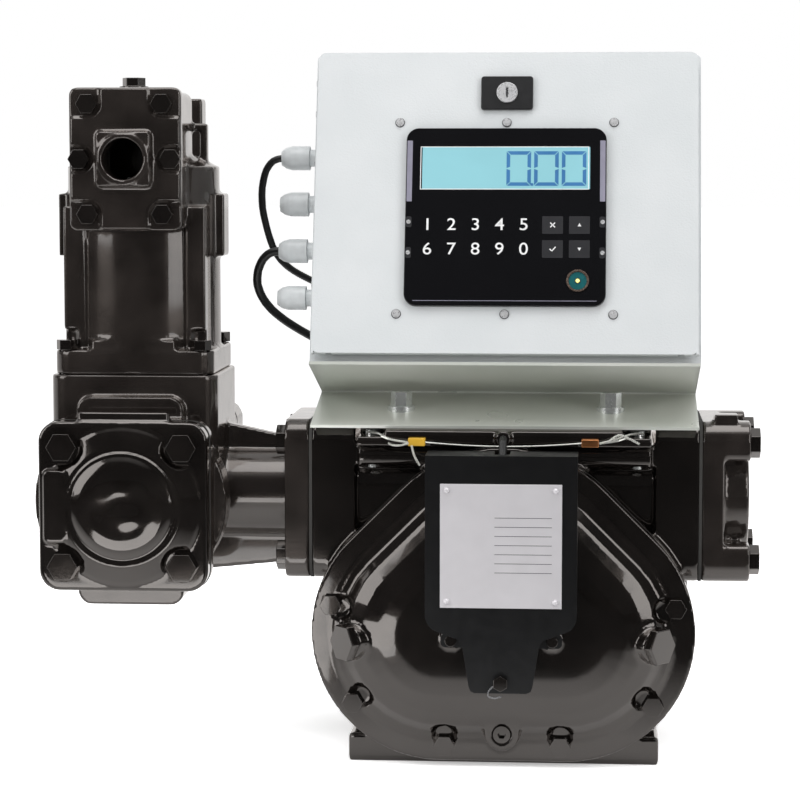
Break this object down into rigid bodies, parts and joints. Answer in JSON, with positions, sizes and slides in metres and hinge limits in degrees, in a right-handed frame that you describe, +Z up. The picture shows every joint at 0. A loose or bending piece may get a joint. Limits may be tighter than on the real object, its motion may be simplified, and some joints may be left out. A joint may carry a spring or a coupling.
{
  "type": "positive displacement flow meter",
  "caption": "Rotor-type liquid flow meter on a foot, with inlet strainer, tall air eliminator, drive guard and an electronic register box on a bent bracket.",
  "frame": {"origin": "centre of the underside of the meter foot, midway between its four holes", "axes": "+Z up, +X along the meter towards its outlet flange, -Y towards the nameplate and the door of the register box"},
  "size_m": [0.4684, 0.2214, 0.4575],
  "materials": {
    "black_enamel": "gloss enamel over a cast surface",
    "raw_black_casting": "semi-gloss black over a coarse casting",
    "plate_iron": "ground",
    "bush_bronze": "machined",
    "rotor_alloy": "machined",
    "gear_steel": "machined",
    "gasket_sheet": "matte",
    "blackened_bolts": "gloss enamel",
    "sensor_case": "satin",
    "black_guard": "satin black sheet",
    "plate_metal": "fine brushed",
    "zinc_plate": "bright zinc plating",
    "bright_wire": "bright",
    "seal_plastic": "satin",
    "grey_powder_coat": "textured powder coat",
    "seal_rubber": "matte foam",
    "bright_steel": "satin",
    "black_plastic": "satin",
    "black_panel": "gloss",
    "lcd_window": "gloss",
    "board_green": "satin",
    "grey_plastic": "satin",
    "cable_jacket": "satin"
  },
  "bodies": {
    "meter": {"meter_housing": "black_enamel", "front_bearing_plate": "plate_iron", "rear_bearing_plate": "plate_iron", "rotor_bushes": "bush_bronze", "joint_gaskets": "gasket_sheet", "front_cover": "black_enamel", "rear_cover": "black_enamel", "cover_bolts": "blackened_bolts", "side_plugs": "blackened_bolts", "drain_plug": "blackened_bolts", "packing_gland": "bush_bronze", "pulse_transmitter": "sensor_case", "pulser_lead": "cable_jacket", "drive_guard": "black_guard", "guard_screws": "blackened_bolts", "nameplate": "plate_metal", "nameplate_rivets": "plate_metal", "register_base": "black_enamel", "base_screws": "zinc_plate", "seal_wire": "bright_wire", "security_seals": "seal_plastic", "enclosure_bracket": "zinc_plate", "bracket_bolts": "zinc_plate", "enclosure_body": "grey_powder_coat", "circuit_board": "board_green", "gland_bodies": "grey_plastic", "gland_nuts": "grey_plastic", "gland_locknuts": "grey_plastic", "cable_one": "cable_jacket", "cable_two": "cable_jacket", "strainer_body": "black_enamel", "strainer_cover": "black_enamel", "strainer_basket": "bright_steel", "strainer_bolts": "blackened_bolts", "flange_bolts": "blackened_bolts", "inlet_flange": "raw_black_casting", "outlet_flange": "raw_black_casting", "tower_body": "black_enamel", "vent_cover": "black_enamel", "vent_cover_bolts": "blackened_bolts", "top_plug": "blackened_bolts"},
    "blocking_rotor": {"blocking_rotor": "rotor_alloy", "blocking_gear": "gear_steel", "output_shaft": "gear_steel"},
    "left_rotor": {"left_displacement_rotor": "rotor_alloy", "left_rotor_gear": "gear_steel"},
    "right_rotor": {"right_displacement_rotor": "rotor_alloy", "right_rotor_gear": "gear_steel"},
    "door": {"enclosure_door": "grey_powder_coat", "door_gasket": "seal_rubber", "hinge_pins": "bright_steel", "lock_housing": "black_plastic", "display_housing": "black_plastic", "display_window": "lcd_window", "front_panel": "black_panel", "key_reader": "bright_steel", "door_screws": "bright_steel"},
    "lock": {"lock_core": "bright_steel"},
    "float": {"float": "bright_steel", "float_arm": "bright_steel"}
  },
  "joints": [
    {"name": "blocking_rotor_spin", "type": "hinge", "parent": "meter", "child": "blocking_rotor", "pos_m": [0, 0, 0.12533], "axis": [0, 1, 0], "continuous": true},
    {"name": "left_rotor_spin", "type": "hinge", "parent": "meter", "child": "left_rotor", "pos_m": [-0.046, 0, 0.078], "axis": [0, 1, 0], "continuous": true},
    {"name": "right_rotor_spin", "type": "hinge", "parent": "meter", "child": "right_rotor", "pos_m": [0.046, 0, 0.078], "axis": [0, 1, 0], "continuous": true},
    {"name": "door_hinge", "type": "hinge", "parent": "meter", "child": "door", "pos_m": [0, -0.06913, 0.26989], "axis": [1, 0, 0], "range_deg": [0, 90]},
    {"name": "lock_turn", "type": "hinge", "parent": "door", "child": "lock", "pos_m": [0, -0.0275, 0.43048], "axis": [0, 0.9588, -0.284], "range_deg": [0, 90]},
    {"name": "float_swing", "type": "hinge", "parent": "meter", "child": "float", "pos_m": [-0.2415, -0.05, 0.372], "axis": [1, 0, 0], "range_deg": [0, 12]}
  ],
  "couplings": [
    {"joint": "left_rotor_spin", "follows": "blocking_rotor_spin", "ratio": -2},
    {"joint": "right_rotor_spin", "follows": "blocking_rotor_spin", "ratio": -2}
  ]
}
